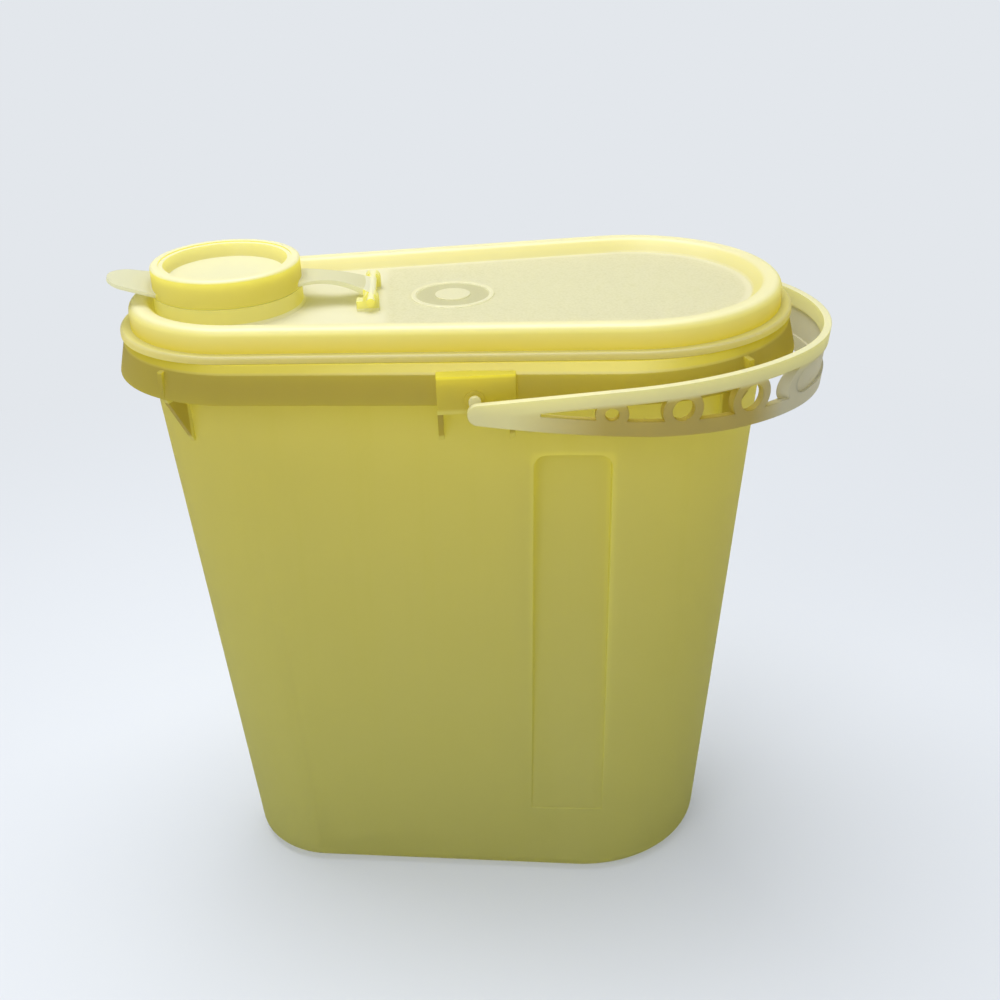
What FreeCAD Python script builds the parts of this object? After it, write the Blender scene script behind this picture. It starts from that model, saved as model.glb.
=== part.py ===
import FreeCAD, Part
import math
import os
import re
import Sketcher

# Pour container: a tapered jug with a clip-on lid, a hinged pour cap and a swinging carry handle.
# X runs from the spout end to the rear, Z is up, and the container stands on Z = 0.
# Seen from above every moulding is a tapered obround: two round ends of different radius
# joined by straight sides. All lengths are in millimetres.

SIZES = {
    # Lid bead, whose outline in plan the others follow
    "bead_half": 111.3,
    "bead_spout_radius": 40,
    "bead_rear_radius": 52,
    "bead_width": 6,
    "bead_height": 10.5,
    "bead_round": 2.7,
    # How far the other outlines stand out from the bead's at the ends, and in their two radii
    "flange_end_out": 3.6,
    "flange_spout_out": 2.5,
    "flange_rear_out": 2.5,
    "seat_end_out": 2.1,
    "seat_spout_out": 3,
    "seat_rear_out": 3,
    "crease_end_out": 3,
    "crease_spout_out": 5.5,
    "crease_rear_out": 7.2,
    "skirt_end_out": 5.2,
    "skirt_spout_out": 6.6,
    "skirt_rear_out": 8.8,
    # How far in from the bead's outline the wall lies, at the seat and at its foot
    "top_end_in": 3.8,
    "top_spout_in": 3.8,
    "top_rear_in": 3.4,
    "foot_end_in": 24.7,
    "foot_spout_in": 9.4,
    "foot_rear_in": 7,
    # Container
    "seat_height": 211.5,
    "foot_round": 6.5,
    "wall": 1.6,
    "floor_thickness": 2.2,
    # Rim that stands in the lid's channel
    "rim_thickness": 1.8,
    "rim_gap": 0.3,
    # Shoulder and skirt around the top of the container
    "crease_drop": 2.7,
    "skirt_drop": 12.5,
    "skirt_wall": 1.6,
    # Gusset webs under the skirt
    "web_thickness": 1.8,
    "web_reach": 19,
    # Grip recess in each side wall
    "recess_x": 35.5,
    "recess_width": 26,
    "recess_top_drop": 35.5,
    "recess_bottom": 30,
    "recess_depth": 5,
    "recess_foot_depth": 0.3,
    "recess_lean": 3,
    "recess_corner": 4.5,
    # Pads on the skirt that the handle turns in
    "pad_x": 4.2,
    "pad_length": 25,
    "pad_top_drop": 1.8,
    "pad_height": 12.6,
    "pad_out": 1.9,
    "pivot_x": 3.6,
    "pivot_drop": 10.1,
    "pin_radius": 2,
    "pin_clearance": 0.06,
    "pin_grip": 3.4,
    "boss_radius": 3.4,
    "boss_out": 0.6,
    # Lid
    "flange_thickness": 2.5,
    "flange_round": 1.2,
    "lid_wall": 1.5,
    "deck_depth": 4.4,
    "deck_thickness": 1.6,
    "deck_slope": 3.8,
    "plug_relief": 0.5,
    # Plain rings moulded in the middle of the deck
    "emblem_x": -1.4,
    "emblem_radius": 14.2,
    "emblem_line": 1.4,
    "emblem_disc": 6,
    "emblem_relief": 0.5,
    # Pour neck, with the collar that the cap closes down to
    "spout_inset": 33.7,
    "collar_height": 6.2,
    "collar_flare": 0.8,
    "collar_flare_height": 0.9,
    "neck_height": 14.1,
    "neck_wall": 1.5,
    "neck_draft": 0.5,
    # Pour cap
    "cap_radius": 25.1,
    "cap_over_neck": 1.8,
    "cap_skirt": 1.1,
    "cap_gap": 0.3,
    "cap_edge": 1.1,
    "ring_width": 4.3,
    "ring_step": 0.4,
    "ring_step_width": 1.5,
    "well_depth": 4.7,
    "well_draft": 1.3,
    "web_of_cap": 1.3,
    # Pull tab, which slopes up to its round tip
    "tab_rise": 1.1,
    "tab_root_half": 12.5,
    "tab_length": 14.9,
    "tab_tip_half": 9.4,
    "tab_tip_radius": 10.5,
    "tab_thickness": 1.2,
    # Strap and cross bar that hinge the cap
    "bar_reach": 48.7,
    "bar_rise": 3.5,
    "bar_radius": 1.5,
    "bar_length": 31.5,
    "bar_clearance": 0.05,
    "strap_width": 17.4,
    "strap_waist": 11.4,
    "strap_waist_radius": 22,
    "strap_thickness": 0.9,
    "strap_arch_radius": 41,
    "strap_rise": 1.4,
    # Hooks on the deck that hold the bar
    "hook_wall": 1.1,
    "hook_inset": 9.3,
    "hook_length": 4.4,
    "hook_toe": 2.2,
    "hook_mouth": 2.3,
    # Carry handle, in plan
    "handle_thickness": 2.6,
    "handle_side_out": 4.3,
    "handle_rear_out": 11.3,
    "handle_widest_back": 3.7,
    "handle_pad_gap": 0.9,
    "handle_draft": 3.6,
    # Carry handle, from the side
    "handle_mid_drop": 3.1,
    "handle_end_top": 3.1,
    "handle_end_bottom": 3.8,
    "handle_end_round": 3.6,
    "handle_rear_top": 8.1,
    "handle_rear_bottom": 12.1,
    "handle_top_radius": 770,
    "handle_bottom_radius": 1230,
    "rail_height": 5.1,
    "slot_start": 20.1,
    "slot_start_gap": 1.1,
    "ring_wall": 3,
    "panel_inset": 0.8,
    # Overrun that lets a cut pass clear of the surface it opens
    "overrun": 5,
}

# Each ring of the handle: its place as a share of the reach behind the pivot, the bore as a share of
# the rear gap between the rails, and how far it follows the rails' fall towards the rear
RING_SHARES = ((0.341, 0.45, 0.20), (0.521, 0.75, 0.31), (0.707, 0.92, 0.54))
# The thin rear panel's round ends: their distance from the middle as a share of the handle's half width,
# and their bore and fall as on a ring
PANEL_SHARES = (0.575, 0.98, 0.90)
# Directions of the corner webs, in degrees from the rear and from the spout
CORNER_WEB_TURN = 56
# Direction in which the handle's rear arc meets its side arcs, in degrees from the rear
REAR_ARC_TURN = 46
# Slope of the pull tab, in degrees
TAB_SLOPE = 12.5
# Edges whose ends differ in height by less than this count as flat
FLATNESS = 0.001

doc = FreeCAD.newDocument("PourContainer")
sheet = doc.addObject("Spreadsheet::Sheet", "Sizes")
for row, (name, size) in enumerate(SIZES.items(), start=1):
    sheet.set("A%d" % row, name)
    sheet.set("B%d" % row, str(size))
    sheet.setAlias("B%d" % row, name)
doc.recompute()

# Words of an expression that are not names of sizes
FUNCTIONS = ("sqrt", "atan", "tan", "cos", "sin", "deg")


def bound(text):
    """Give the expression in which each name is a cell of the sheet."""
    def cell(word):
        return word.group(0) if word.group(0) in FUNCTIONS else "Sizes." + word.group(0)
    return re.sub(r"[a-z][a-z_]+", cell, text)


def value(text):
    """Work out an expression of the sheet's names as a plain number."""
    result = sheet.evalExpression(bound(text))
    return float(getattr(result, "Value", result))


def new_body(label):
    """Start a body whose label names the sub-part."""
    body = doc.addObject("PartDesign::Body", label)
    body.Label = label
    return body


def origin_plane(body, role):
    """Find one of the body's own origin planes."""
    return next(feature for feature in body.Origin.OriginFeatures if feature.Role == role)


def new_sketch(body, role="XY_Plane", base=("0", "0", "0"), turns=("0", "0")):
    """Add a sketch on an origin plane, moved by base and turned about its own X and Y, in degrees."""
    sketch = body.newObject("Sketcher::SketchObject", body.Label + "_sketch")
    sketch.AttachmentSupport = [(origin_plane(body, role), "")]
    sketch.MapMode = "FlatFace"
    if turns != ("0", "0"):
        angle = "sqrt((%s)^2 + (%s)^2)" % turns
        sketch.setExpression("AttachmentOffset.Rotation.Axis.x", bound("(%s) / %s" % (turns[0], angle)))
        sketch.setExpression("AttachmentOffset.Rotation.Axis.y", bound("(%s) / %s" % (turns[1], angle)))
        sketch.setExpression("AttachmentOffset.Rotation.Axis.z", "0")
        sketch.setExpression("AttachmentOffset.Rotation.Angle", bound(angle))
    for letter, distance in zip("xyz", base):
        if distance != "0":
            sketch.setExpression("AttachmentOffset.Base." + letter, bound(distance))
    return sketch


def pin_down(sketch, kind, places, text):
    """Add a constraint whose size is an expression of the sheet's names."""
    index = sketch.addConstraint(Sketcher.Constraint(kind, *places, value(text)))
    sketch.setExpression("Constraints[%d]" % index, bound(text))


def circle(sketch, radius, across="0", up="0"):
    """Draw a circle of the radius at a place in the sketch."""
    centre = FreeCAD.Vector(value(across), value(up), 0)
    index = sketch.addGeometry(Part.Circle(centre, FreeCAD.Vector(0, 0, 1), value(radius)), False)
    pin_down(sketch, "Radius", (index,), radius)
    pin_down(sketch, "DistanceX", (-1, 1, index, 3), across)
    pin_down(sketch, "DistanceY", (-1, 1, index, 3), up)
    return sketch


def profile(sketch, corners):
    """Draw a closed line through corners of (across, up), or (across, up, radius) where an arc follows.

    An arc turns to the left on its way to the next corner, and to the right where its radius has a minus.
    """
    points = [FreeCAD.Vector(value(corner[0]), value(corner[1]), 0) for corner in corners]
    count = len(points)
    for index, corner in enumerate(corners):
        start, end = points[index], points[(index + 1) % count]
        if len(corner) == 2:
            sketch.addGeometry(Part.LineSegment(start, end), False)
            continue
        radius = value(corner[2].lstrip("-"))
        half = (end - start) * 0.5
        side = FreeCAD.Vector(half.y, -half.x, 0).normalize()
        if corner[2].startswith("-"):
            side = side * -1
        rise = radius - math.sqrt(max(radius ** 2 - half.Length ** 2, 0))
        sketch.addGeometry(Part.Arc(start, start + half + side * rise, end), False)
    for index, corner in enumerate(corners):
        following = (index + 1) % count
        ends = [arc_end(sketch, index, points[index]), arc_end(sketch, index, points[following])]
        after = arc_end(sketch, following, points[following])
        sketch.addConstraint(Sketcher.Constraint("Coincident", index, ends[1], following, after))
        pin_down(sketch, "DistanceX", (-1, 1, index, ends[0]), corner[0])
        pin_down(sketch, "DistanceY", (-1, 1, index, ends[0]), corner[1])
        if len(corner) == 3:
            pin_down(sketch, "Radius", (index,), corner[2].lstrip("-"))
    return sketch


def arc_end(sketch, index, point):
    """Tell which end of a sketch line or arc lies at the point: 1 is its start and 2 its end."""
    to_start = (sketch.getPoint(index, 1) - point).Length
    to_end = (sketch.getPoint(index, 2) - point).Length
    return 1 if to_start < to_end else 2


def box_of(sketch, left, right, low, high):
    """Draw a rectangle in the sketch."""
    return profile(sketch, [(left, low), (right, low), (right, high), (left, high)])


def form(name):
    """Give the half length and the radii at the spout and the rear of an outline, from the bead's."""
    if name == "bead":
        return "bead_half", "bead_spout_radius", "bead_rear_radius"
    step = " - %s_%s_in)" if name in ("top", "foot") else " + %s_%s_out)"
    return tuple("(" + size + step % (name, place) for size, place in (
        ("bead_half", "end"), ("bead_spout_radius", "spout"), ("bead_rear_radius", "rear")))


def outline(body, level, name, offset="0"):
    """Draw the tapered obround called name, offset outwards, at a level above the base."""
    sketch = new_sketch(body, base=("0", "0", level))
    half, spout_round, rear_round = form(name)
    radii = ["%s + (%s)" % (spout_round, offset), "%s + (%s)" % (rear_round, offset)]
    reaches = ["%s - %s" % (half, spout_round), "%s - %s" % (half, rear_round)]
    spout, rear = value(radii[0]), value(radii[1])
    centres = [FreeCAD.Vector(-value(reaches[0]), 0, 0), FreeCAD.Vector(value(reaches[1]), 0, 0)]
    side = math.acos((spout - rear) / (centres[1] - centres[0]).Length)
    for centre, radius, start, end in ((centres[1], rear, -side, side), (centres[0], spout, side, -side)):
        full_turn = 2 * math.pi if end < start else 0
        end_circle = Part.Circle(centre, FreeCAD.Vector(0, 0, 1), radius)
        sketch.addGeometry(Part.ArcOfCircle(end_circle, start, end + full_turn), False)
    left, right = sketch.getPoint(1, 1), sketch.getPoint(0, 2)
    sketch.addGeometry(Part.LineSegment(right, left), False)
    sketch.addGeometry(Part.LineSegment(sketch.getPoint(1, 2), sketch.getPoint(0, 1)), False)
    for first, first_end, second, second_end in ((0, 2, 2, 1), (2, 2, 1, 1), (1, 2, 3, 1), (3, 2, 0, 1)):
        sketch.addConstraint(Sketcher.Constraint("Tangent", first, first_end, second, second_end))
    for arc in (0, 1):
        sketch.addConstraint(Sketcher.Constraint("PointOnObject", arc, 3, -1))
    pin_down(sketch, "Radius", (0,), radii[1])
    pin_down(sketch, "Radius", (1,), radii[0])
    pin_down(sketch, "DistanceX", (-1, 1, 0, 3), reaches[1])
    pin_down(sketch, "DistanceX", (1, 3, -1, 1), reaches[0])
    return sketch


def side_at(sizes, x):
    """Give the distance from the symmetry plane to an outline's straight side at a place along it."""
    half, spout, rear = sizes
    slope = "((%s - %s) / (2 * %s - %s - %s))" % (spout, rear, half, spout, rear)
    return "((%s - %s * (%s - %s + %s)) / sqrt(1 - %s * %s))" % (rear, slope, x, half, rear, slope, slope)


def wall_at(level):
    """Give the sizes of the wall's outside at a level between its foot and the seat."""
    return tuple("(%s + (%s - %s) * (%s) / seat_height)" % (low, high, low, level)
                 for low, high in zip(form("foot"), form("top")))


def extrude(body, kind, sketch, length, both_ways=False, backwards=False):
    """Add a pad or a pocket of the sketch."""
    feature = body.newObject("PartDesign::" + kind, body.Label + "_" + kind.lower())
    feature.Profile = sketch
    feature.Refine = True
    feature.Reversed = backwards
    feature.SideType = "Symmetric" if both_ways else "One side"
    feature.setExpression("Length", bound(length))
    doc.recompute()
    return feature


def loft(body, kind, *sketches):
    """Add or cut a ruled form through the sketches."""
    feature = body.newObject("PartDesign::%sLoft" % kind, body.Label + "_loft")
    feature.Profile = sketches[0]
    feature.Sections = list(sketches[1:])
    feature.Ruled = True
    doc.recompute()
    return feature


def turned(body, sketch):
    """Add the solid that the sketch sweeps about its own upright axis."""
    feature = body.newObject("PartDesign::Revolution", body.Label + "_revolution")
    feature.Profile = sketch
    feature.ReferenceAxis = (sketch, ["V_Axis"])
    feature.Angle = 360
    doc.recompute()
    return feature


def mirrored(body, *features):
    """Repeat features on the far side of the symmetry plane."""
    feature = body.newObject("PartDesign::Mirrored", body.Label + "_mirror")
    feature.Originals = list(features)
    feature.MirrorPlane = (origin_plane(body, "XZ_Plane"), [""])
    body.Tip = feature
    doc.recompute()
    return feature


def rounded(body, base, radius, levels):
    """Round the edges of the last feature that lie flat at one of the levels."""
    wanted = [value(level) for level in levels]
    names = []
    for number, edge in enumerate(base.Shape.Edges, start=1):
        box = edge.BoundBox
        if any(abs(box.ZMin - level) + abs(box.ZMax - level) < FLATNESS for level in wanted):
            names.append("Edge%d" % number)
    feature = body.newObject("PartDesign::Fillet", body.Label + "_round")
    feature.Base = (base, names)
    feature.setExpression("Radius", bound(radius))
    doc.recompute()
    return feature


def less(label, base, tool):
    """Cut one form from another."""
    cut = doc.addObject("Part::Cut", label)
    cut.Base = base
    cut.Tool = tool
    cut.Refine = True
    doc.recompute()
    return cut


def common(label, *shapes):
    """Keep what the forms share."""
    shared = doc.addObject("Part::MultiCommon", label)
    shared.Shapes = list(shapes)
    doc.recompute()
    return shared


# Container outside: the skirt and rim first, then the tapered wall that fills their middle
RIM_OUTSIDE = "-lid_wall - rim_gap"
RIM_INSIDE = "-lid_wall - rim_gap - rim_thickness"
SKIRT_EDGE = "seat_height - skirt_drop"
container_body = new_body("container_outside")
loft(container_body, "Additive",
     outline(container_body, SKIRT_EDGE, "skirt"),
     outline(container_body, "seat_height - crease_drop", "crease"),
     outline(container_body, "seat_height", "seat"))
extrude(container_body, "Pad", outline(container_body, "seat_height", "bead", RIM_OUTSIDE),
        "bead_height - lid_wall - rim_gap")
loft(container_body, "Subtractive",
     outline(container_body, SKIRT_EDGE, "skirt", "-skirt_wall"),
     outline(container_body, "seat_height - crease_drop - skirt_wall", "crease", "-skirt_wall"),
     outline(container_body, "seat_height - skirt_wall", "seat", "-skirt_wall"))

# Pads on the skirt, each with a round boss and the bore that a pin of the handle turns in
PAD_FACE = "(%s + pad_out)" % side_at(form("skirt"), "pad_x")
PAD_ROOT = "(%s - pin_grip - skirt_wall)" % PAD_FACE
PAD_TOP = "(seat_height - pad_top_drop)"
PIVOT_HEIGHT = "(seat_height - pivot_drop)"
pad_sketch = box_of(new_sketch(container_body, "XZ_Plane", ("0", "0", PAD_ROOT)),
                    "pad_x - pad_length / 2", "pad_x + pad_length / 2", PAD_TOP + " - pad_height", PAD_TOP)
pad = extrude(container_body, "Pad", pad_sketch, "pin_grip + skirt_wall")
boss_sketch = circle(new_sketch(container_body, "XZ_Plane", ("0", "0", PAD_ROOT)), "boss_radius",
                     "pivot_x", PIVOT_HEIGHT)
boss = extrude(container_body, "Pad", boss_sketch, "pin_grip + skirt_wall + boss_out")
mirrored(container_body, pad, boss)
bore_sketch = circle(new_sketch(container_body, "XZ_Plane"), "pin_radius + pin_clearance",
                     "pivot_x", PIVOT_HEIGHT)
extrude(container_body, "Pocket", bore_sketch, "2 * %s + 2 * overrun" % PAD_FACE, both_ways=True)

wall_form = loft(container_body, "Additive",
                 outline(container_body, "0", "foot"),
                 outline(container_body, "seat_height", "top"))
rounded(container_body, wall_form, "foot_round", ["0"])


def web(centre, turn, wall_reach, skirt_reach):
    """Add a gusset web that stands out from the centre in a direction given in degrees."""
    sketch = new_sketch(container_body, "XZ_Plane", (centre, "0", "0"), ("0", turn))
    profile(sketch, [(wall_reach, SKIRT_EDGE + " - web_reach"),
                     (skirt_reach, SKIRT_EDGE + " + skirt_wall / 2"),
                     (skirt_reach, "seat_height - crease_drop - skirt_wall / 2"),
                     (wall_reach, "seat_height - skirt_wall / 2")])
    extrude(container_body, "Pad", sketch, "web_thickness", both_ways=True)


# Webs between the wall and the skirt, beside the pads and at the corners
TOP_HALF, TOP_SPOUT, TOP_REAR = form("top")
SKIRT_HALF, SKIRT_SPOUT, SKIRT_REAR = form("skirt")
for side in ("-90", "90"):
    for sign in "-+":
        web_x = "(pad_x %s (pad_length - web_thickness) / 2)" % sign
        web(web_x, side, side_at(wall_at(SKIRT_EDGE), web_x) + " - wall", PAD_ROOT + " + skirt_wall / 2")
for sign in (1, -1):
    web("%s - %s" % (TOP_HALF, TOP_REAR), str(sign * CORNER_WEB_TURN),
        TOP_REAR + " - wall", SKIRT_REAR + " - skirt_wall / 2")
    web("%s - %s" % (TOP_SPOUT, TOP_HALF), str(sign * (180 - CORNER_WEB_TURN)),
        TOP_SPOUT + " - wall", SKIRT_SPOUT + " - skirt_wall / 2")

# Grip recesses, whose floor sinks steadily from the foot to the top
RECESS_TOP = "(seat_height - recess_top_drop)"
RECESS_SLOPE = "((recess_depth - recess_foot_depth) / (%s - recess_bottom))" % RECESS_TOP


def recess(label, grow):
    """Make the two recesses as one form, with every face moved inwards by grow."""
    prism = new_body(label + "_prism")
    half = "(recess_width / 2 + %s)" % grow
    corner = "(recess_corner + %s)" % grow
    top = "(%s + %s)" % (RECESS_TOP, grow)
    sketch = profile(new_sketch(prism, "XZ_Plane", ("recess_x", "0", "0")), [
        ("-recess_lean - %s" % half, "recess_bottom"),
        ("-recess_lean + %s" % half, "recess_bottom"),
        (half, "%s - %s" % (top, corner), corner),
        ("%s - %s" % (half, corner), top),
        ("%s - %s" % (corner, half), top, corner),
        ("-" + half, "%s - %s" % (top, corner))])
    extrude(prism, "Pad", sketch, "2 * (bead_rear_radius + overrun)", both_ways=True)
    sunk = "%s * (recess_bottom - %s) - recess_foot_depth - %s"
    floor = new_body(label + "_floor")
    loft(floor, "Additive",
         outline(floor, "0", "foot", sunk % (RECESS_SLOPE, "0", grow)),
         outline(floor, "seat_height", "top", sunk % (RECESS_SLOPE, "seat_height", grow)))
    return less(label, prism, floor)


container_outer = less("container_outer", container_body, recess("grip_recess", "0"))

# Container hollow: the wall's form less its thickness, open through the rim
hollow_body = new_body("container_hollow")
loft(hollow_body, "Additive",
     outline(hollow_body, "0", "foot", "-wall"),
     outline(hollow_body, "seat_height", "top", "-wall"))
below_floor = extrude(hollow_body, "Pocket", outline(hollow_body, "0", "foot"), "floor_thickness",
                      backwards=True)
rounded(hollow_body, below_floor, "foot_round - wall", ["floor_thickness"])
extrude(hollow_body, "Pad", outline(hollow_body, "seat_height", "bead", RIM_INSIDE), "bead_height")
container_inner = less("container_inner", hollow_body, recess("recess_backing", "wall"))
container = less("container", container_outer, container_inner)

# Lid: flange and bead, hollowed for the rim, with the plug wall and the deck inside it
BEAD_TOP = "(seat_height + bead_height)"
DECK = "(%s - deck_depth)" % BEAD_TOP
DECK_UNDER = "(%s - deck_thickness)" % DECK
PLUG_OUTSIDE = "-lid_wall - 2 * rim_gap - rim_thickness"
lid = new_body("lid")
flange = extrude(lid, "Pad", outline(lid, "seat_height", "flange"), "flange_thickness")
rounded(lid, flange, "flange_round", ["seat_height + flange_thickness"])
extrude(lid, "Pad", outline(lid, "seat_height", "bead"), "bead_height")
extrude(lid, "Pocket", outline(lid, "seat_height", "bead", "-lid_wall"), "bead_height - lid_wall",
        backwards=True)
extrude(lid, "Pad", outline(lid, "seat_height + plug_relief", "bead", PLUG_OUTSIDE),
        "bead_height - plug_relief")
deck_cut = loft(lid, "Subtractive",
                outline(lid, DECK, "bead", "-bead_width - deck_slope"),
                outline(lid, BEAD_TOP, "bead", "-bead_width"))
rounded(lid, deck_cut, "bead_round", [BEAD_TOP])
extrude(lid, "Pocket", outline(lid, "seat_height", "bead", PLUG_OUTSIDE + " - lid_wall"),
        DECK_UNDER + " - seat_height", backwards=True)

# Plain rings in the middle of the deck
EMBLEM_TOP = DECK + " + emblem_relief"
for kind, level, radius in (("Pad", DECK, "emblem_radius"),
                            ("Pocket", EMBLEM_TOP, "emblem_radius - emblem_line"),
                            ("Pad", DECK, "emblem_disc")):
    emblem_sketch = circle(new_sketch(lid, base=("0", "0", level)), radius, "emblem_x")
    extrude(lid, kind, emblem_sketch, "emblem_relief")

# Pour neck on its collar, turned about the spout's axis
SPOUT_X = "(spout_inset - bead_half)"
NECK_OUTSIDE = "(cap_radius - cap_skirt - cap_gap)"
BORE = "(%s - neck_wall)" % NECK_OUTSIDE
COLLAR_TOP = "(%s + collar_height)" % DECK
NECK_TOP = "(%s + neck_height)" % DECK
neck_sketch = profile(new_sketch(lid, "XZ_Plane", (SPOUT_X, "0", "0")), [
    (BORE, DECK + " - deck_thickness / 2"),
    ("cap_radius + collar_flare", DECK + " - deck_thickness / 2"),
    ("cap_radius + collar_flare", DECK),
    ("cap_radius", DECK + " + collar_flare_height"),
    ("cap_radius", COLLAR_TOP),
    (NECK_OUTSIDE, COLLAR_TOP),
    (NECK_OUTSIDE + " - neck_draft", NECK_TOP),
    (BORE, NECK_TOP)])
turned(lid, neck_sketch)
extrude(lid, "Pocket", circle(new_sketch(lid, base=("0", "0", "seat_height")), BORE, SPOUT_X),
        NECK_TOP + " - seat_height + overrun", backwards=True)

# Hooks that the cap's bar snaps into from above
BAR_X = "(%s + bar_reach)" % SPOUT_X
BAR_HEIGHT = "(%s + bar_rise)" % DECK
HOOK_RADIUS = "(bar_radius + bar_clearance + hook_wall)"
stem_sketch = box_of(new_sketch(lid, "XZ_Plane", (BAR_X, "0", "hook_inset")),
                     "-%s - hook_toe" % HOOK_RADIUS, HOOK_RADIUS, DECK + " - deck_thickness / 2", BAR_HEIGHT)
stem = extrude(lid, "Pad", stem_sketch, "hook_length")
eye_sketch = circle(new_sketch(lid, "XZ_Plane", (BAR_X, "0", "hook_inset")), HOOK_RADIUS, "0", BAR_HEIGHT)
eye = extrude(lid, "Pad", eye_sketch, "hook_length")
mirrored(lid, stem, eye)
extrude(lid, "Pocket", circle(new_sketch(lid, "XZ_Plane"), "bar_radius + bar_clearance", BAR_X, BAR_HEIGHT),
        "bar_length + 2 * overrun", both_ways=True)
mouth_sketch = box_of(new_sketch(lid, "XZ_Plane", (BAR_X, "0", "0")), "-hook_mouth / 2", "hook_mouth / 2",
                      BAR_HEIGHT, "%s + %s + overrun" % (BAR_HEIGHT, HOOK_RADIUS))
extrude(lid, "Pocket", mouth_sketch, "bar_length + 2 * overrun", both_ways=True)

# Pour cap: the strap with its waist, then the bar, the cap and its pull tab
CAP_TOP = "(%s + cap_over_neck)" % NECK_TOP
CAP_BOTTOM = "(%s + cap_gap)" % COLLAR_TOP
SKIRT_INSIDE = "(cap_radius - cap_skirt)"
SKIRT_MIDDLE = "(cap_radius - cap_skirt / 2)"
pour_cap = new_body("pour_cap")
STRAP_END = "(%s + %s)" % (SPOUT_X, SKIRT_MIDDLE)
STRAP_ROOT = "(%s + strap_rise)" % CAP_BOTTOM
strap_sketch = profile(new_sketch(pour_cap, "XZ_Plane"), [
    (STRAP_END, STRAP_ROOT),
    (STRAP_END, STRAP_ROOT + " + strap_thickness", "-(strap_arch_radius + strap_thickness)"),
    (BAR_X + " + bar_radius / 2", BAR_HEIGHT + " + bar_radius / 2"),
    (BAR_X + " - bar_radius / 2", BAR_HEIGHT + " - bar_radius / 2", "strap_arch_radius")])
extrude(pour_cap, "Pad", strap_sketch, "strap_width", both_ways=True)
STRAP_MIDDLE = "((%s + %s) / 2)" % (STRAP_END, BAR_X)
waist_sketch = circle(new_sketch(pour_cap, base=("0", "0", BAR_HEIGHT + " - bar_radius")), "strap_waist_radius",
                      STRAP_MIDDLE, "strap_waist / 2 + strap_waist_radius")
waist = extrude(pour_cap, "Pocket", waist_sketch, "%s - %s + overrun" % (CAP_TOP, BAR_HEIGHT), backwards=True)
mirrored(pour_cap, waist)
extrude(pour_cap, "Pad", circle(new_sketch(pour_cap, "XZ_Plane"), "bar_radius", BAR_X, BAR_HEIGHT),
        "bar_length", both_ways=True)

PLUG_RADIUS = "(%s - cap_gap)" % BORE
RING_INSIDE = "(cap_radius - ring_width)"
WELL = "(%s - well_depth)" % CAP_TOP
cap_sketch = profile(new_sketch(pour_cap, "XZ_Plane", (SPOUT_X, "0", "0")), [
    ("0", WELL + " - web_of_cap"),
    (PLUG_RADIUS + " - well_draft", WELL + " - web_of_cap"),
    (PLUG_RADIUS, NECK_TOP + " + cap_gap"),
    (SKIRT_INSIDE, NECK_TOP + " + cap_gap"),
    (SKIRT_INSIDE, CAP_BOTTOM),
    ("cap_radius", CAP_BOTTOM),
    ("cap_radius", CAP_TOP + " - cap_edge", "cap_edge"),
    ("cap_radius - cap_edge", CAP_TOP),
    (RING_INSIDE + " + ring_step_width", CAP_TOP),
    (RING_INSIDE + " + ring_step_width", CAP_TOP + " - ring_step"),
    (RING_INSIDE, CAP_TOP + " - ring_step"),
    (RING_INSIDE + " - well_draft", WELL),
    ("0", WELL)])
turned(pour_cap, cap_sketch)
TAB_TIP = "(sqrt(tab_tip_radius^2 - tab_tip_half^2) - tab_length)"
TAB_ROOT = "(%s - sqrt(%s^2 - tab_root_half^2))" % (SKIRT_MIDDLE, SKIRT_MIDDLE)
tab_place = ("%s - %s" % (SPOUT_X, SKIRT_MIDDLE), "0", CAP_BOTTOM + " + tab_rise")
tab_sketch = profile(new_sketch(pour_cap, base=tab_place, turns=("0", str(TAB_SLOPE))), [
    (TAB_ROOT, "-tab_root_half", "-" + SKIRT_MIDDLE),
    (TAB_ROOT, "tab_root_half"),
    (TAB_TIP, "tab_tip_half", "tab_tip_radius"),
    (TAB_TIP, "-tab_tip_half")])
extrude(pour_cap, "Pad", tab_sketch, "tab_thickness")

# Carry handle in plan: two arms that curve in to the pads, and a rear loop around the skirt, all
# drafted outwards towards the top
ARM_END = "(pivot_x - handle_end_round)"
HANDLE_HALF = "(%s + handle_side_out)" % SKIRT_REAR
WIDEST_X = "(%s - %s - handle_widest_back)" % (SKIRT_HALF, SKIRT_REAR)
REAR_REACH = "(%s + handle_rear_out - %s)" % (SKIRT_HALF, WIDEST_X)
ARM_DROP = "(%s - %s - handle_pad_gap - handle_thickness)" % (HANDLE_HALF, PAD_FACE)
ARM_RADIUS = "(((%s - %s)^2 + %s^2) / (2 * %s))" % (WIDEST_X, ARM_END, ARM_DROP, ARM_DROP)
TURN = "%s deg" % REAR_ARC_TURN
REAR_CENTRE = "((%s - %s) / (1 + tan(%s) - 1 / cos(%s)))" % (REAR_REACH, HANDLE_HALF, TURN, TURN)
REAR_RADIUS = "(%s - %s)" % (REAR_REACH, REAR_CENTRE)
SIDE_RADIUS = "(%s + %s / cos(%s))" % (REAR_RADIUS, REAR_CENTRE, TURN)
END_Y = "(%s - %s)" % (HANDLE_HALF, ARM_DROP)


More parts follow.
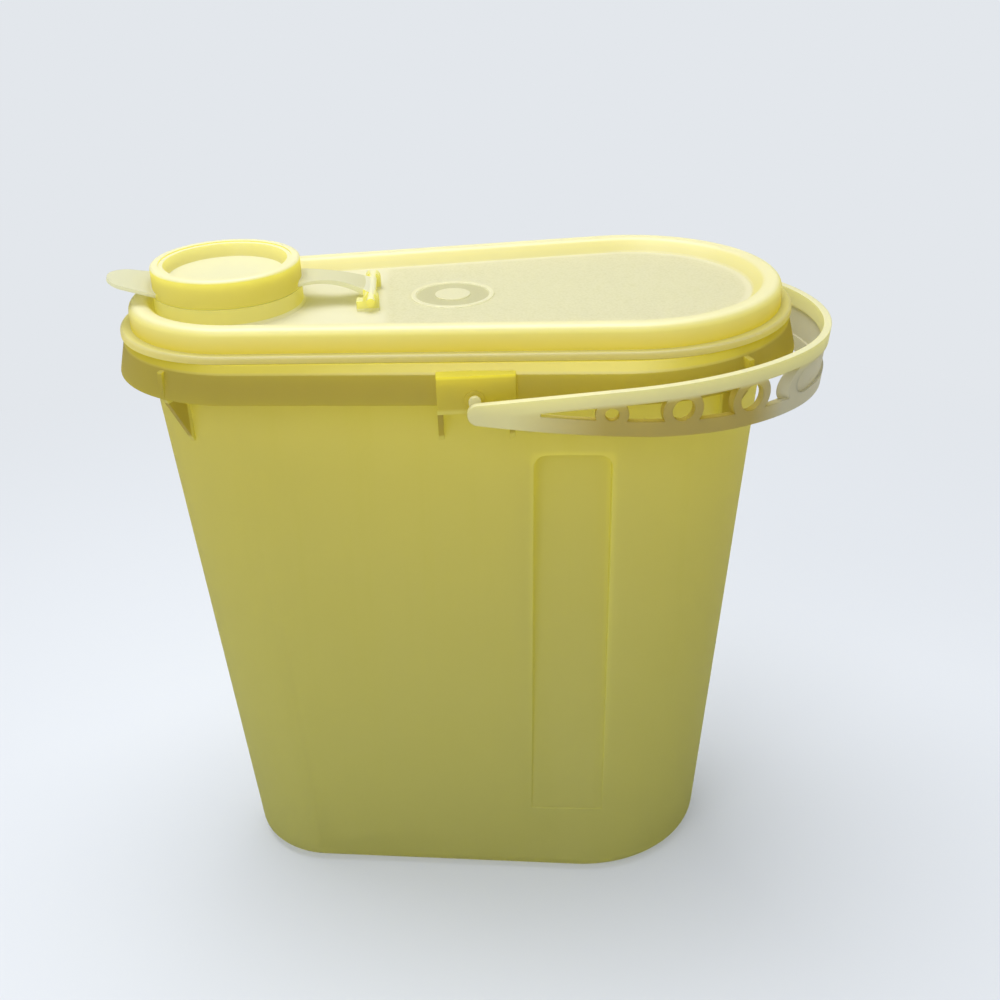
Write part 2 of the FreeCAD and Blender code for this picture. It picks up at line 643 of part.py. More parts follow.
def handle_line(grow):
    """Give the corners and radii from the near arm's end round to the far one, for a line offset outwards."""
    joint_x = "(%s + %s + (%s + %s) * cos(%s))" % (WIDEST_X, REAR_CENTRE, REAR_RADIUS, grow, TURN)
    joint_y = "((%s + %s) * sin(%s))" % (REAR_RADIUS, grow, TURN)
    end_y = "(sqrt((%s + %s)^2 - (%s - %s)^2) - %s + %s)" % (
        ARM_RADIUS, grow, WIDEST_X, ARM_END, ARM_RADIUS, HANDLE_HALF)
    arm, side, rear, half = ["(%s + %s)" % (size, grow)
                             for size in (ARM_RADIUS, SIDE_RADIUS, REAR_RADIUS, HANDLE_HALF)]
    return [(ARM_END, "-" + end_y, arm), (WIDEST_X, "-" + half, side), (joint_x, "-" + joint_y, rear),
            (joint_x, joint_y, side), (WIDEST_X, half, arm), (ARM_END, end_y)]


def layer_sketch(body, level, outer, inner):
    """Draw a layer of the handle at a level: the line round its outside and back along its inside."""
    outside = handle_line(outer)
    inside = handle_line(inner)
    back = [(inside[index][0], inside[index][1]) for index in range(len(inside) - 1, -1, -1)]
    radii = [inside[index][2] for index in range(len(inside) - 2, -1, -1)]
    back = [(x, y, "-" + radius) for (x, y), radius in zip(back, radii)] + [back[-1]]
    return profile(new_sketch(body, base=("0", "0", level)), outside + back)


MID = "(%s - handle_mid_drop)" % PIVOT_HEIGHT
TOP_OF_HANDLE = "(%s + handle_rear_top + overrun)" % MID
FOOT_OF_HANDLE = "(%s - handle_rear_bottom - overrun)" % MID


def layer(label, inset):
    """Make the drafted band of the handle, thinned by inset on both faces."""
    body = new_body(label)
    sketches = [layer_sketch(body, level, "(%s - %s)" % (draft, inset),
                             "(%s - handle_thickness + %s)" % (draft, inset))
                for level, draft in ((FOOT_OF_HANDLE, "-handle_draft / 2"), (TOP_OF_HANDLE, "handle_draft / 2"))]
    loft(body, "Additive", *sketches)
    return body


# Side view of the handle: one outline, and the slot that parts it into two rails
BACK = "(%s + %s + handle_draft + overrun)" % (WIDEST_X, REAR_REACH)
REAR_TOP = "(%s + handle_rear_top)" % MID
REAR_FOOT = "(%s - handle_rear_bottom)" % MID
side_view = new_body("handle_side_view")
side_sketch = profile(new_sketch(side_view, "XZ_Plane"), [
    ("pivot_x", MID + " - handle_end_bottom", "handle_bottom_radius"),
    (BACK, REAR_FOOT),
    (BACK, REAR_TOP, "handle_top_radius"),
    ("pivot_x", MID + " + handle_end_top", "handle_end_round")])
extrude(side_view, "Pad", side_sketch, "2 * (%s + overrun)" % HANDLE_HALF, both_ways=True)
slot_sketch = profile(new_sketch(side_view, "XZ_Plane"), [
    ("pivot_x + slot_start", MID + " - slot_start_gap / 2", "handle_bottom_radius"),
    (BACK, REAR_FOOT + " + rail_height"),
    (BACK, REAR_TOP + " - rail_height", "handle_top_radius"),
    ("pivot_x + slot_start", MID + " + slot_start_gap / 2")])
extrude(side_view, "Pocket", slot_sketch, "2 * (%s + 2 * overrun)" % HANDLE_HALF, both_ways=True)


def arc_under(x):
    """Give the centre and the radius of the arc that the band's middle follows at a place."""
    if value(x) < value(WIDEST_X):
        return WIDEST_X, "(%s - %s)" % (HANDLE_HALF, ARM_RADIUS), "(%s - handle_thickness / 2)" % ARM_RADIUS
    if value(x) < value(handle_line("(-handle_thickness / 2)")[2][0]):
        return WIDEST_X, "(%s - %s)" % (HANDLE_HALF, SIDE_RADIUS), "(%s - handle_thickness / 2)" % SIDE_RADIUS
    return "(%s + %s)" % (WIDEST_X, REAR_CENTRE), "0", "(%s - handle_thickness / 2)" % REAR_RADIUS


# Rings that bridge the rails, square to the band
REACH = "(%s + %s - pivot_x)" % (WIDEST_X, REAR_REACH)
REAR_GAP = "(handle_rear_top + handle_rear_bottom - 2 * rail_height)"
REAR_FALL = "((handle_rear_top - handle_rear_bottom) / 2)"
for place, bore, fall in RING_SHARES:
    ring_x = "(pivot_x + %s * %s)" % (place, REACH)
    ring_level = "(%s + %s * %s)" % (MID, fall, REAR_FALL)
    centre_x, centre_y, radius = arc_under(ring_x)
    out = "(sqrt(%s^2 - (%s - %s)^2) + %s)" % (radius, ring_x, centre_x, centre_y)
    turn = "(atan((%s - %s) / (%s - %s)) / 1 deg)" % (ring_x, centre_x, out, centre_y)
    for sign in ("", "-"):
        for kind, grow in (("Pad", "ring_wall"), ("Pocket", "0")):
            sketch = new_sketch(side_view, "XZ_Plane", (ring_x, "0", "-(%s%s)" % (sign, out)),
                                ("0", "-(%s%s)" % (sign, turn)))
            circle(sketch, "%s * %s / 2 + %s" % (bore, REAR_GAP, grow), "0", ring_level)
            extrude(side_view, kind, sketch, "5 * handle_thickness", both_ways=True)


# Rear panel: a frame with round ends between the rails, closed by a thinner wall
PANEL_Y = "(%s * %s)" % (PANEL_SHARES[0], HANDLE_HALF)
PANEL_RADIUS = "(%s * %s / 2)" % (PANEL_SHARES[1], REAR_GAP)
PANEL_LEVEL = "(%s + %s * %s)" % (MID, PANEL_SHARES[2], REAR_FALL)


def panel_form(body, kind, radius):
    """Add or cut a bar with round ends that runs along X through the handle's rear."""
    length = "%s - %s" % (BACK, WIDEST_X)
    flat = box_of(new_sketch(body, "YZ_Plane", ("0", "0", WIDEST_X)), "-" + PANEL_Y, PANEL_Y,
                  "%s - %s" % (PANEL_LEVEL, radius), "%s + %s" % (PANEL_LEVEL, radius))
    extrude(body, kind, flat, length, backwards=(kind == "Pocket"))
    for sign in ("", "-"):
        end = circle(new_sketch(body, "YZ_Plane", ("0", "0", WIDEST_X)), radius, sign + PANEL_Y, PANEL_LEVEL)
        extrude(body, kind, end, length, backwards=(kind == "Pocket"))


panel_form(side_view, "Pad", "(%s + ring_wall)" % PANEL_RADIUS)
panel_form(side_view, "Pocket", PANEL_RADIUS)
panel_view = new_body("handle_panel_view")
panel_form(panel_view, "Pad", "(%s + ring_wall / 2)" % PANEL_RADIUS)
bail = common("handle_bail", layer("handle_band", "0"), side_view)
panel = common("handle_panel", layer("handle_core", "panel_inset"), panel_view)

# Pins that turn in the pads' bores
PIN_ROOT = "(%s - pin_grip)" % PAD_FACE
pins = []
for side, turn in ((1, -90), (-1, 90)):
    pin = doc.addObject("Part::Cylinder", "handle_pin")
    pin.Placement = FreeCAD.Placement(FreeCAD.Vector(), FreeCAD.Rotation(FreeCAD.Vector(1, 0, 0), turn))
    pin.setExpression("Radius", bound("pin_radius"))
    pin.setExpression("Height", bound("%s - handle_thickness / 2 - %s" % (END_Y, PIN_ROOT)))
    pin.setExpression("Placement.Base.x", bound("pivot_x"))
    pin.setExpression("Placement.Base.y", bound("%d * %s" % (side, PIN_ROOT)))
    pin.setExpression("Placement.Base.z", bound(PIVOT_HEIGHT))
    pins.append(pin)
carry_handle = doc.addObject("Part::MultiFuse", "carry_handle")
carry_handle.Shapes = [bail, panel] + pins
doc.recompute()

sub_parts = (container, lid, pour_cap, carry_handle)
for item in doc.Objects:
    if "Invalid" in item.State or "Error" in item.State:
        raise RuntimeError("%s did not build: %s" % (item.Label, item.State))
for item in sub_parts:
    if item.Shape.isNull() or not item.Shape.isValid() or len(item.Shape.Solids) != 1:
        raise RuntimeError("%s has no single sound solid" % item.Label)
os.makedirs("parts", exist_ok=True)
for item in sub_parts:
    item.Shape.exportStep("parts/%s.step" % item.Label)
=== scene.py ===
import bmesh
import bpy
import math
from mathutils import Matrix, Vector


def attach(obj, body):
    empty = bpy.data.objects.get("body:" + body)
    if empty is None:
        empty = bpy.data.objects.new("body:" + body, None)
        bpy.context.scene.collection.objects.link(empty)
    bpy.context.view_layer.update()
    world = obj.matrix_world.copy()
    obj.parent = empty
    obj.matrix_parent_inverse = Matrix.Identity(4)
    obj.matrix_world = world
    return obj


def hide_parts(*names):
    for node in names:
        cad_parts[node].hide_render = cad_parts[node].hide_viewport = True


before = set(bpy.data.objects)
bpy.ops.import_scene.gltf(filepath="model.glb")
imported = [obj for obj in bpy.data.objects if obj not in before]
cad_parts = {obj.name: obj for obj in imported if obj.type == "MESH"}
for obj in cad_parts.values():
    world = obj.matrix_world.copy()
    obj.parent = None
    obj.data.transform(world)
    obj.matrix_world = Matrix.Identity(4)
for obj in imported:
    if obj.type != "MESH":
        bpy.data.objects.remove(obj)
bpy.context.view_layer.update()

# Container
# The jug body is one injection moulding of low-density polyethylene with walls about 1.6 mm thick.
# The natural resin is milky and lets light through, so its thin walls glow a soft lemon yellow.
MM = 0.001
WELD = 0.01 * MM
SAME_PLANE = math.radians(0.05)
FACET_CORNERS = 6
FLAT_TURN = math.radians(3)
CRISP_TURN = math.radians(21)


def shell(name, node, body, material):
    """Make a moulding's visible skin from its solid.

    Loose facets are joined and flat faces made whole. Round stretches are shaded smooth, and an edge is
    crisp where the surface turns sharply, or turns at all beside a flat face.
    """
    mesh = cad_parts[node].data.copy()
    mesh.name = name
    grid = bmesh.new()
    grid.from_mesh(mesh)
    bmesh.ops.remove_doubles(grid, verts=grid.verts, dist=WELD)
    bmesh.ops.dissolve_degenerate(grid, edges=grid.edges, dist=WELD)
    bmesh.ops.dissolve_limit(grid, angle_limit=SAME_PLANE, edges=grid.edges)
    for face in grid.faces:
        face.smooth = True
    for edge in grid.edges:
        beside_flat = any(len(face.verts) > FACET_CORNERS for face in edge.link_faces)
        edge.smooth = edge.calc_face_angle(0) < (FLAT_TURN if beside_flat else CRISP_TURN)
    grid.to_mesh(mesh)
    grid.free()
    mesh.materials.clear()
    mesh.materials.append(material)
    piece = bpy.data.objects.new(name, mesh)
    bpy.context.scene.collection.objects.link(piece)
    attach(piece, body)
    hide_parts(node)


def linear(code):
    """Turn an sRGB hex colour to the linear one that a shader takes."""
    channels = [int(code[place:place + 2], 16) / 255 for place in (1, 3, 5)]
    return [c / 12.92 if c <= 0.04045 else ((c + 0.055) / 1.055) ** 2.4 for c in channels] + [1.0]


def add_node(tree, kind, settings=None, **links):
    """Add a node with its settings, and link or set its inputs by name or number."""
    node = tree.nodes.new("ShaderNode" + kind)
    for name, setting in (settings or {}).items():
        setattr(node, name, setting)
    for name, source in links.items():
        socket = node.inputs[int(name[1:])] if name[1:].isdigit() else node.inputs[name.replace("_", " ")]
        if isinstance(source, bpy.types.NodeSocket):
            tree.links.new(source, socket)
        else:
            socket.default_value = source
    return node


CLOUD_SIZE = 30 * MM
WAVE_SIZE = 9 * MM
WAVE_DEPTH = 0.1 * MM
EDGE_ROUND = 0.5 * MM
RESIN_IOR = 1.51


def polyethylene(name, skin, glow, share, roughness):
    """Start a translucent moulding's finish from its skin's two tones and the colour that it lets through.

    The skin drifts between its tones over centimetres, where the melt cooled unevenly, and is slightly wavy.
    Its edges are as round as the mould leaves them. A painted glow, emitted wherever an overlay gives it a
    colour, stands in for light that has scattered inside a wall. It is too weak to be sampled as a lamp.
    """
    material = bpy.data.materials.new(name)
    material.use_nodes = True
    material.cycles.emission_sampling = "NONE"
    tree = material.node_tree
    tree.nodes.clear()
    place = add_node(tree, "TexCoord", {"name": "place"}).outputs["Object"]
    cloud = add_node(tree, "TexNoise", Vector=place, Scale=1 / CLOUD_SIZE, Detail=3.0)
    tone = add_node(tree, "Mix", {"name": "skin", "data_type": "RGBA"},
                    _0=cloud.outputs["Fac"], _6=linear(skin[0]), _7=linear(skin[1]))
    edge = add_node(tree, "Bevel", {"samples": 4}, Radius=EDGE_ROUND)
    wave = add_node(tree, "TexNoise", Vector=place, Scale=1 / WAVE_SIZE, Detail=2.0)
    relief = add_node(tree, "Bump", {"name": "relief"}, Height=wave.outputs["Fac"], Distance=WAVE_DEPTH,
                      Normal=edge.outputs[0])
    body = add_node(tree, "BsdfPrincipled", {"name": "body"}, Base_Color=tone.outputs[2],
                    Normal=relief.outputs[0], Roughness=roughness, IOR=RESIN_IOR, Specular_IOR_Level=1.0)
    through = add_node(tree, "BsdfTranslucent", {"name": "through"}, Color=linear(glow))
    both = add_node(tree, "MixShader", _0=share, _1=body.outputs[0], _2=through.outputs[0])
    # A painted glow, dark until an overlay gives it a colour.
    painted_glow = add_node(tree, "Emission", {"name": "painted_glow"}, Color=linear("#000000"), Strength=1.0)
    whole = add_node(tree, "AddShader", _0=both.outputs[0], _1=painted_glow.outputs[0])
    add_node(tree, "OutputMaterial", Surface=whole.outputs[0])
    return material


def overlay(material, mask, skin=None, glow=None, painted_glow=None):
    """Lay other tones over a finish where the mask says."""
    tree = material.node_tree
    for target, base, code in (("body", "Base Color", skin), ("through", "Color", glow),
                               ("painted_glow", "Color", painted_glow)):
        if code:
            socket = tree.nodes[target].inputs[base]
            before = socket.links[0].from_socket if socket.links else tuple(socket.default_value)
            mixed = add_node(tree, "Mix", {"data_type": "RGBA"}, _0=mask, _6=before, _7=linear(code))
            tree.links.new(mixed.outputs[2], socket)


# Long faint streaks run up the walls where the melt flowed from the floor, with a few rubbed marks.
STREAK_WIDTH = 7 * MM
STREAK_LENGTH = 160 * MM
jug_plastic = polyethylene("moulded_polyethylene_jug", ("#f1edae", "#ede8a2"), "#f3ed86",
                           share=0.75, roughness=0.36)
jug_tree = jug_plastic.node_tree
jug_place = jug_tree.nodes["place"].outputs["Object"]
jug_spot = add_node(jug_tree, "SeparateXYZ", _0=jug_place).outputs
stretch = add_node(jug_tree, "Mapping", Vector=jug_place,
                   Scale=(1 / STREAK_WIDTH, 1 / STREAK_WIDTH, 1 / STREAK_LENGTH))
streak = add_node(jug_tree, "TexNoise", Vector=stretch.outputs[0], Scale=1.0, Detail=3.0, Roughness=0.6)
faint = add_node(jug_tree, "MapRange", Value=streak.outputs["Fac"], From_Min=0.52, From_Max=0.8, To_Max=0.5)
overlay(jug_plastic, faint.outputs[0], skin="#e4e094")

# The skirt hangs clear of the glowing wall, so it is painted a deeper yellow as painted shade.
# The wall is painted darker and greener towards the floor, also as painted shade.
# The wall's upper half has a painted glow, standing in for light passed on from the rim.
SKIRT_FOOT, SKIRT_TOP = 198 * MM, 208.6 * MM
RIM_LIGHT_FOOT = 110 * MM
above = add_node(jug_tree, "MapRange", Value=jug_spot[2], From_Min=SKIRT_FOOT, From_Max=SKIRT_FOOT + MM)
below = add_node(jug_tree, "MapRange", Value=jug_spot[2], From_Min=SKIRT_TOP + MM, From_Max=SKIRT_TOP,
                 To_Max=0.75)
skirt = add_node(jug_tree, "Math", {"operation": "MULTIPLY"}, _0=above.outputs[0], _1=below.outputs[0])
# Painted shade on the skirt band.
overlay(jug_plastic, skirt.outputs[0], skin="#c8bf52", glow="#ddd040")
# Painted shade: darker and greener towards the floor.
painted_floor_shade = add_node(jug_tree, "MapRange", Value=jug_spot[2], From_Min=SKIRT_FOOT, From_Max=0.0, To_Max=0.5)
overlay(jug_plastic, painted_floor_shade.outputs[0], skin="#d2d5a4", glow="#e2e4a4")
rim_light = add_node(jug_tree, "MapRange", Value=jug_spot[2], From_Min=RIM_LIGHT_FOOT, From_Max=SKIRT_FOOT)
overlay(jug_plastic, rim_light.outputs[0], painted_glow="#1a1904")

# The shoulder above the skirt and the two thin pads on the skirt have a painted glow,
# standing in for light that scattered in the rim.
PAD_X = 4.2 * MM
PAD_HALF = 12.5 * MM
shoulder_glow = add_node(jug_tree, "MapRange", Value=jug_spot[2], From_Min=SKIRT_TOP, From_Max=SKIRT_TOP + MM)
overlay(jug_plastic, shoulder_glow.outputs[0], skin="#efe66c", glow="#f4ec3e", painted_glow="#3c3a00")
pad = add_node(jug_tree, "Math", {"operation": "COMPARE"}, _0=jug_spot[0], _1=PAD_X, _2=PAD_HALF)
pad_glow = add_node(jug_tree, "Math", {"operation": "MULTIPLY"}, _0=pad.outputs[0], _1=skirt.outputs[0])
overlay(jug_plastic, pad_glow.outputs[0], painted_glow="#34320a")

# The step around each grip recess has a painted highlight, standing in for light caught inside the wall,
# strongest near its round top.
RECESS_FOOT_X = 31.9 * MM
RECESS_LEAN = 0.0212
RECESS_HALF = 13 * MM
RECESS_TOP = 176 * MM
RECESS_CORNER = 4.5 * MM
STEP_BRIGHT, STEP_DARK = 0.5 * MM, 1.8 * MM
STEP_LIGHT_FOOT = 30 * MM
recess_middle = add_node(jug_tree, "Math", {"operation": "MULTIPLY_ADD"}, _0=jug_spot[2], _1=RECESS_LEAN,
                         _2=RECESS_FOOT_X)
aside = add_node(jug_tree, "Math", {"operation": "SUBTRACT"}, _0=jug_spot[0], _1=recess_middle.outputs[0])
wide = add_node(jug_tree, "Math", {"operation": "ABSOLUTE"}, _0=aside.outputs[0])
past_side = add_node(jug_tree, "Math", {"operation": "SUBTRACT"}, _0=wide.outputs[0], _1=RECESS_HALF)
past_top = add_node(jug_tree, "Math", {"operation": "SUBTRACT"}, _0=jug_spot[2], _1=RECESS_TOP)
past_recess = add_node(jug_tree, "Math", {"operation": "SMOOTH_MAX"}, _0=past_side.outputs[0],
                       _1=past_top.outputs[0], _2=RECESS_CORNER)
off_step = add_node(jug_tree, "Math", {"operation": "ABSOLUTE"}, _0=past_recess.outputs[0])
step = add_node(jug_tree, "MapRange", Value=off_step.outputs[0], From_Min=STEP_DARK, From_Max=STEP_BRIGHT)
rising = add_node(jug_tree, "MapRange", Value=jug_spot[2], From_Min=STEP_LIGHT_FOOT, From_Max=RECESS_TOP,
                  To_Max=0.9)
recess_step_highlight = add_node(jug_tree, "Math", {"operation": "MULTIPLY"}, _0=step.outputs[0], _1=rising.outputs[0])
overlay(jug_plastic, recess_step_highlight.outputs[0], painted_glow="#44420c")

# The gusset webs stand out from the wall below the skirt. They are painted a deeper olive than the wall, as
# painted shade for being seen through their length.
WALL_LEVEL = 190 * MM
WALL_ENDS = (-69.7 * MM, 57.1 * MM)
WALL_RADII = (35.6 * MM, 48.2 * MM)
WALL_SPREAD = 0.03
WEB_LEVEL = 186 * MM
WEB_HALF = 11 * MM
WEB_START, WEB_FULL = 1.1 * MM, 1.7 * MM


def past_outline(tree, spot, ends, radii):
    """Measure how far a spot lies outside a plan outline, from its two round ends' centres and radii."""
    middle = add_node(tree, "MapRange", Value=spot[0], From_Min=ends[0], From_Max=ends[1],
                      To_Min=ends[0], To_Max=ends[1])
    radius = add_node(tree, "MapRange", Value=spot[0], From_Min=ends[0], From_Max=ends[1],
                      To_Min=radii[0], To_Max=radii[1])
    across = add_node(tree, "Math", {"operation": "SUBTRACT"}, _0=spot[0], _1=middle.outputs[0])
    reach = add_node(tree, "CombineXYZ", X=across.outputs[0], Y=spot[1])
    out = add_node(tree, "VectorMath", {"operation": "LENGTH"}, _0=reach.outputs[0])
    past = add_node(tree, "Math", {"operation": "SUBTRACT"}, _0=out.outputs["Value"], _1=radius.outputs[0])
    return past.outputs[0]


higher = add_node(jug_tree, "Math", {"operation": "SUBTRACT"}, _0=jug_spot[2], _1=WALL_LEVEL)
proud = add_node(jug_tree, "Math", {"operation": "MULTIPLY_ADD"}, _0=higher.outputs[0], _1=-WALL_SPREAD,
                 _2=past_outline(jug_tree, jug_spot, WALL_ENDS, WALL_RADII))
web = add_node(jug_tree, "MapRange", Value=proud.outputs[0], From_Min=WEB_START, From_Max=WEB_FULL)
near_web = add_node(jug_tree, "Math", {"operation": "COMPARE"}, _0=jug_spot[2], _1=WEB_LEVEL, _2=WEB_HALF)
web_shade = add_node(jug_tree, "Math", {"operation": "MULTIPLY"}, _0=web.outputs[0], _1=near_web.outputs[0])
overlay(jug_plastic, web_shade.outputs[0], skin="#d0c470", glow="#d6c854")
shell("container_shell", "container", "container", jug_plastic)

# Lid
# The lid is the same resin, with a rounded bead that stiffens its edge. Its deck is finely pebbled by the
# mould behind the hooks, and is painted a paler cream as painted light where it faces the lamps. It clips
# over the container's rim.
lid_plastic = polyethylene("moulded_polyethylene_lid", ("#f8f7da", "#f5f4d0"), "#f7f37c",
                           share=0.7, roughness=0.32)
lid_tree = lid_plastic.node_tree
lid_place = lid_tree.nodes["place"].outputs["Object"]
lid_spot = add_node(lid_tree, "SeparateXYZ", _0=lid_place).outputs
lid_turn = add_node(lid_tree, "NewGeometry").outputs["True Normal"]
lid_facing = add_node(lid_tree, "SeparateXYZ", _0=lid_turn).outputs

# The bead's sides and the collar under the cap have a painted glow and a deeper yellow, standing in for
# light that scattered in the bead.
DECK_LEVEL = 217.7 * MM
DECK_ENDS = (-71.3 * MM, 59.3 * MM)
DECK_RADII = (30.2 * MM, 42.2 * MM)
BEAD_START = 2 * MM
BEAD_PALE_LEVEL, BEAD_DEEP_LEVEL = 220.5 * MM, 214.5 * MM
NECK_X = -77.6 * MM
COLLAR_RADIUS = 26 * MM
COLLAR_RISE = 0.8 * MM
LIP_TOP, LIP_DEEP_LEVEL = 214.2 * MM, 213.8 * MM


def from_upright(tree, line_x):
    """Measure how far a spot is from an upright line in the middle plane."""
    place = tree.nodes["place"].outputs["Object"]
    flat = add_node(tree, "VectorMath", {"operation": "MULTIPLY_ADD"}, _0=place, _1=(1, 1, 0),
                    _2=(-line_x, 0, 0))
    return add_node(tree, "VectorMath", {"operation": "LENGTH"}, _0=flat.outputs[0]).outputs["Value"]


past_deck = past_outline(lid_tree, lid_spot, DECK_ENDS, DECK_RADII)
low = add_node(lid_tree, "MapRange", Value=lid_spot[2], From_Min=BEAD_PALE_LEVEL, From_Max=BEAD_DEEP_LEVEL)
outside = add_node(lid_tree, "Math", {"operation": "GREATER_THAN"}, _0=past_deck, _1=BEAD_START)
bead_side_glow = add_node(lid_tree, "Math", {"operation": "MULTIPLY"}, _0=low.outputs[0], _1=outside.outputs[0])
overlay(lid_plastic, bead_side_glow.outputs[0], skin="#f2ea94", glow="#f6ee68", painted_glow="#565402")
near = add_node(lid_tree, "Math", {"operation": "LESS_THAN"}, _0=from_upright(lid_tree, NECK_X),
                _1=COLLAR_RADIUS)
risen = add_node(lid_tree, "MapRange", Value=lid_spot[2], From_Min=DECK_LEVEL,
                 From_Max=DECK_LEVEL + COLLAR_RISE)
collar_glow = add_node(lid_tree, "Math", {"operation": "MULTIPLY"}, _0=near.outputs[0], _1=risen.outputs[0])
overlay(lid_plastic, collar_glow.outputs[0], painted_glow="#3a3918")
# The lip below the bead is painted paler and given a painted glow.
lip_glow = add_node(lid_tree, "MapRange", Value=lid_spot[2], From_Min=LIP_TOP, From_Max=LIP_DEEP_LEVEL)
overlay(lid_plastic, lip_glow.outputs[0], skin="#f4eebc", glow="#f3edaa", painted_glow="#34320e")

# Painted light: the bead's crest and the deck, which face the lamps, are painted paler, and the bead's very
# top line gets a painted highlight.
CROWN_START = 3 * MM
CROWN_FOOT, CROWN_TOP = 221.2 * MM, 221.95 * MM
DECK_RELIEF = 0.9 * MM
BORDER_FADE = 0.6 * MM
upward_painted_light = add_node(lid_tree, "MapRange", Value=lid_facing[2], From_Min=0.45, From_Max=0.9, To_Max=0.9)
overlay(lid_plastic, upward_painted_light.outputs[0], glow="#eeedd0")
# Painted highlight along the bead's top line.
crown = add_node(lid_tree, "MapRange", Value=lid_spot[2], From_Min=CROWN_FOOT, From_Max=CROWN_TOP,
                 To_Max=0.9)
beyond = add_node(lid_tree, "Math", {"operation": "GREATER_THAN"}, _0=past_deck, _1=CROWN_START)
crown_highlight = add_node(lid_tree, "Math", {"operation": "MULTIPLY"}, _0=crown.outputs[0], _1=beyond.outputs[0])
overlay(lid_plastic, crown_highlight.outputs[0], skin="#fbfbf4", glow="#f6f6e8")
# Painted light: the deck is painted paler where it faces the lamps.
level = add_node(lid_tree, "Math", {"operation": "COMPARE"}, _0=lid_spot[2], _1=DECK_LEVEL, _2=DECK_RELIEF)
within = add_node(lid_tree, "MapRange", Value=past_deck, From_Min=BORDER_FADE, From_Max=-BORDER_FADE,
                  To_Max=0.9)
deck = add_node(lid_tree, "Math", {"operation": "MULTIPLY"}, _0=level.outputs[0], _1=within.outputs[0])
overlay(lid_plastic, deck.outputs[0], skin="#fcfbf6", glow="#f9f8ee")

# The deck's pebbling is drawn at its own size, and stops short of the deck's edge and of the hooks.
PEBBLE_BORDER = 2.4 * MM
PEBBLE_START = -24 * MM
PEBBLE_SIZE = 0.9 * MM
PEBBLE_DEPTH = 0.15 * MM
border = add_node(lid_tree, "MapRange", Value=past_deck, From_Min=BORDER_FADE - PEBBLE_BORDER,
                  From_Max=-BORDER_FADE - PEBBLE_BORDER)
behind = add_node(lid_tree, "MapRange", Value=lid_spot[0], From_Min=PEBBLE_START - MM,
                  From_Max=PEBBLE_START + MM)
inner = add_node(lid_tree, "Math", {"operation": "MULTIPLY"}, _0=border.outputs[0], _1=behind.outputs[0])
pebbled = add_node(lid_tree, "Math", {"operation": "MULTIPLY"}, _0=inner.outputs[0], _1=deck.outputs[0])
pebble = add_node(lid_tree, "TexVoronoi", {"feature": "SMOOTH_F1"}, Vector=lid_place, Scale=1 / PEBBLE_SIZE,
                  Smoothness=0.6)
grain = add_node(lid_tree, "Math", {"operation": "MULTIPLY"}, _0=pebbled.outputs[0],
                 _1=pebble.outputs["Distance"])
grain_relief = add_node(lid_tree, "Bump", Height=grain.outputs[0], Distance=PEBBLE_DEPTH,
                        Normal=lid_tree.nodes["relief"].outputs[0])
lid_tree.links.new(grain_relief.outputs[0], lid_tree.nodes["body"].inputs["Normal"])
overlay(lid_plastic, grain.outputs[0], skin="#cccbb6")

# Inside the two plain rings the deck is a little thicker and greyer, and the rings' tops are paler.
RINGS_X = -1.4 * MM
RINGS_INSIDE = 12.8 * MM
RING_FOOT, RING_TOP = 217.8 * MM, 218 * MM
disc = add_node(lid_tree, "MapRange", Value=from_upright(lid_tree, RINGS_X), From_Min=RINGS_INSIDE,
                From_Max=RINGS_INSIDE - BORDER_FADE)
disc_only = add_node(lid_tree, "Math", {"operation": "MULTIPLY"}, _0=disc.outputs[0], _1=deck.outputs[0])
overlay(lid_plastic, disc_only.outputs[0], skin="#dfdec8", glow="#dddbbe")
raised = add_node(lid_tree, "MapRange", Value=lid_spot[2], From_Min=RING_FOOT, From_Max=RING_TOP)
ring_tops = add_node(lid_tree, "Math", {"operation": "MULTIPLY"}, _0=raised.outputs[0], _1=deck.outputs[0])
overlay(lid_plastic, ring_tops.outputs[0], skin="#fbfaf0", glow="#faf8e2")
shell("lid_shell", "lid", "lid", lid_plastic)

# Pour cap
# The cap, its pull tab, the strap and the cross bar are one soft moulding, and the bar snaps under the
# lid's hooks. The tab and the strap are so thin that they look whiter than the cap.
CAP_RADIUS = 25.1 * MM
THIN_MIDDLE = CAP_RADIUS + 11 * MM
THIN_HALF = 10.6 * MM
cap_plastic = polyethylene("moulded_polyethylene_cap", ("#f8f7e2", "#f6f5da"), "#f4f1aa",
                           share=0.66, roughness=0.3)
cap_tree = cap_plastic.node_tree
cap_turn = add_node(cap_tree, "NewGeometry").outputs["True Normal"]
cap_facing = add_node(cap_tree, "SeparateXYZ", _0=cap_turn).outputs
# Painted light: the cap's upright sides get a painted glow and a deeper yellow, and its upward faces are
# painted paler.
cap_side_glow = add_node(cap_tree, "MapRange", Value=cap_facing[2], From_Min=0.5, From_Max=0.1)
overlay(cap_plastic, cap_side_glow.outputs[0], skin="#f4ee9c", glow="#f6f18c", painted_glow="#302e0c")
cap_top_highlight = add_node(cap_tree, "MapRange", Value=cap_facing[2], From_Min=0.2, From_Max=0.6)
overlay(cap_plastic, cap_top_highlight.outputs[0], skin="#fafaf4", glow="#efefe8")
thin = add_node(cap_tree, "Math", {"operation": "COMPARE"}, _0=from_upright(cap_tree, NECK_X),
                _1=THIN_MIDDLE, _2=THIN_HALF)
overlay(cap_plastic, thin.outputs[0], skin="#e2e1d0", glow="#eae9cc", painted_glow="#000000")
shell("pour_cap_shell", "pour_cap", "cap", cap_plastic)

